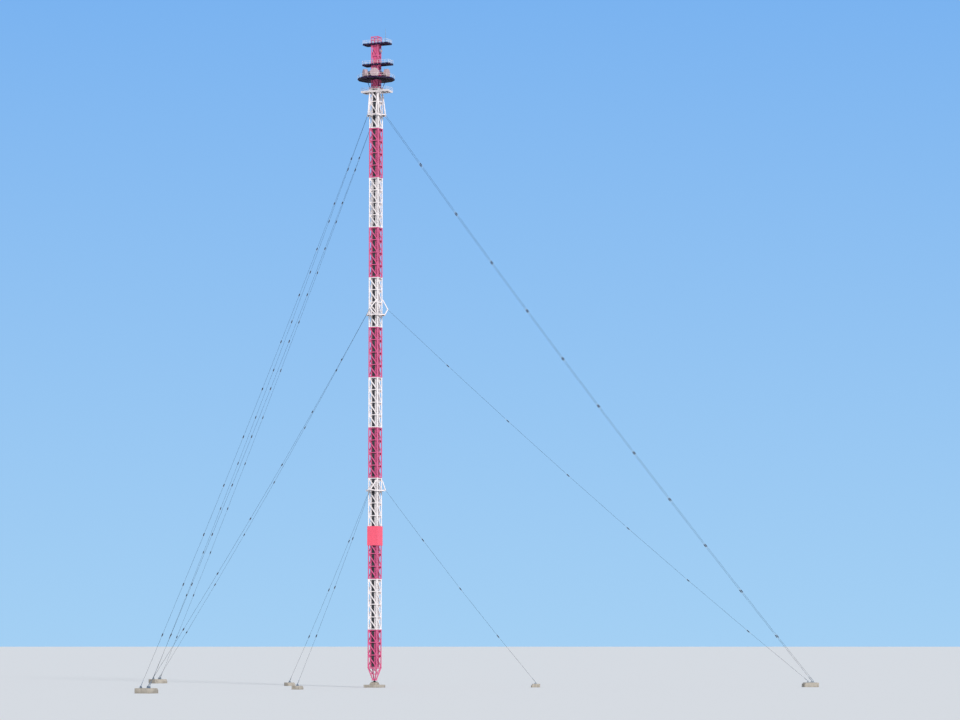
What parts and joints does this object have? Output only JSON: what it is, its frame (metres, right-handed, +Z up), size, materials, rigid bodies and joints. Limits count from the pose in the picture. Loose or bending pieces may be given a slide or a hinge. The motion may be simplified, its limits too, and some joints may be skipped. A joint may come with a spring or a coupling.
{
  "type": "guyed lattice radio mast, 1:10 scale model",
  "caption": "Guyed square lattice radio mast in red and white bands, with antenna platforms, drum dishes, guy rings, stay cables and concrete anchors, at one tenth of real size.",
  "frame": {"origin": "middle of the underside of the concrete base block, on the mast's axis", "axes": "+Z up along the mast, +X to the right in the picture, +Y away from the camera"},
  "size_m": [19.8652, 22.2647, 18.9416],
  "materials": {
    "concrete": "rough",
    "bearing_steel": "matte",
    "red_paint": "satin",
    "white_paint": "satin",
    "casing_paint": "satin",
    "deck_paint": "satin",
    "galvanised_steel": "matte",
    "dark_grating": "matte",
    "cable_jacket": "matte",
    "guy_rope": "matte",
    "insulator_glaze": "gloss",
    "drum_shell": "matte",
    "lamp_glass": "gloss"
  },
  "bodies": {
    "root": {"anchor_shoes": "galvanised_steel", "base_block": "concrete", "dipole_panels": "white_paint", "drum_dishes": "drum_shell", "feeder_cables": "cable_jacket", "foot_bearing": "bearing_steel", "guy_ring_lower": "white_paint", "guy_ring_middle": "white_paint", "guy_ring_upper": "white_paint", "guys_lower": "guy_rope", "guys_middle": "guy_rope", "guys_upper": "guy_rope", "head_column": "red_paint", "head_seat": "red_paint", "inner_anchors": "concrete", "insulators": "insulator_glaze", "ladders": "galvanised_steel", "landings": "dark_grating", "lightning_rod": "galvanised_steel", "mast_foot": "red_paint", "mast_section_01": "red_paint", "mast_section_02": "white_paint", "mast_section_03": "red_paint", "mast_section_04": "white_paint", "mast_section_05": "red_paint", "mast_section_06": "white_paint", "mast_section_07": "red_paint", "mast_section_08": "white_paint", "mast_section_09": "red_paint", "mast_section_10": "white_paint", "mast_section_11": "red_paint", "mast_section_12": "white_paint", "obstruction_lamps": "lamp_glass", "outer_anchors": "concrete", "platform_dishes": "deck_paint", "platform_low": "white_paint", "platform_top": "deck_paint", "platform_upper": "deck_paint", "railings": "white_paint", "red_casing": "casing_paint", "service_duct_red": "red_paint", "service_duct_white": "white_paint", "small_dish": "drum_shell", "top_frame": "red_paint", "turnbuckles": "galvanised_steel"}
  },
  "joints": []
}
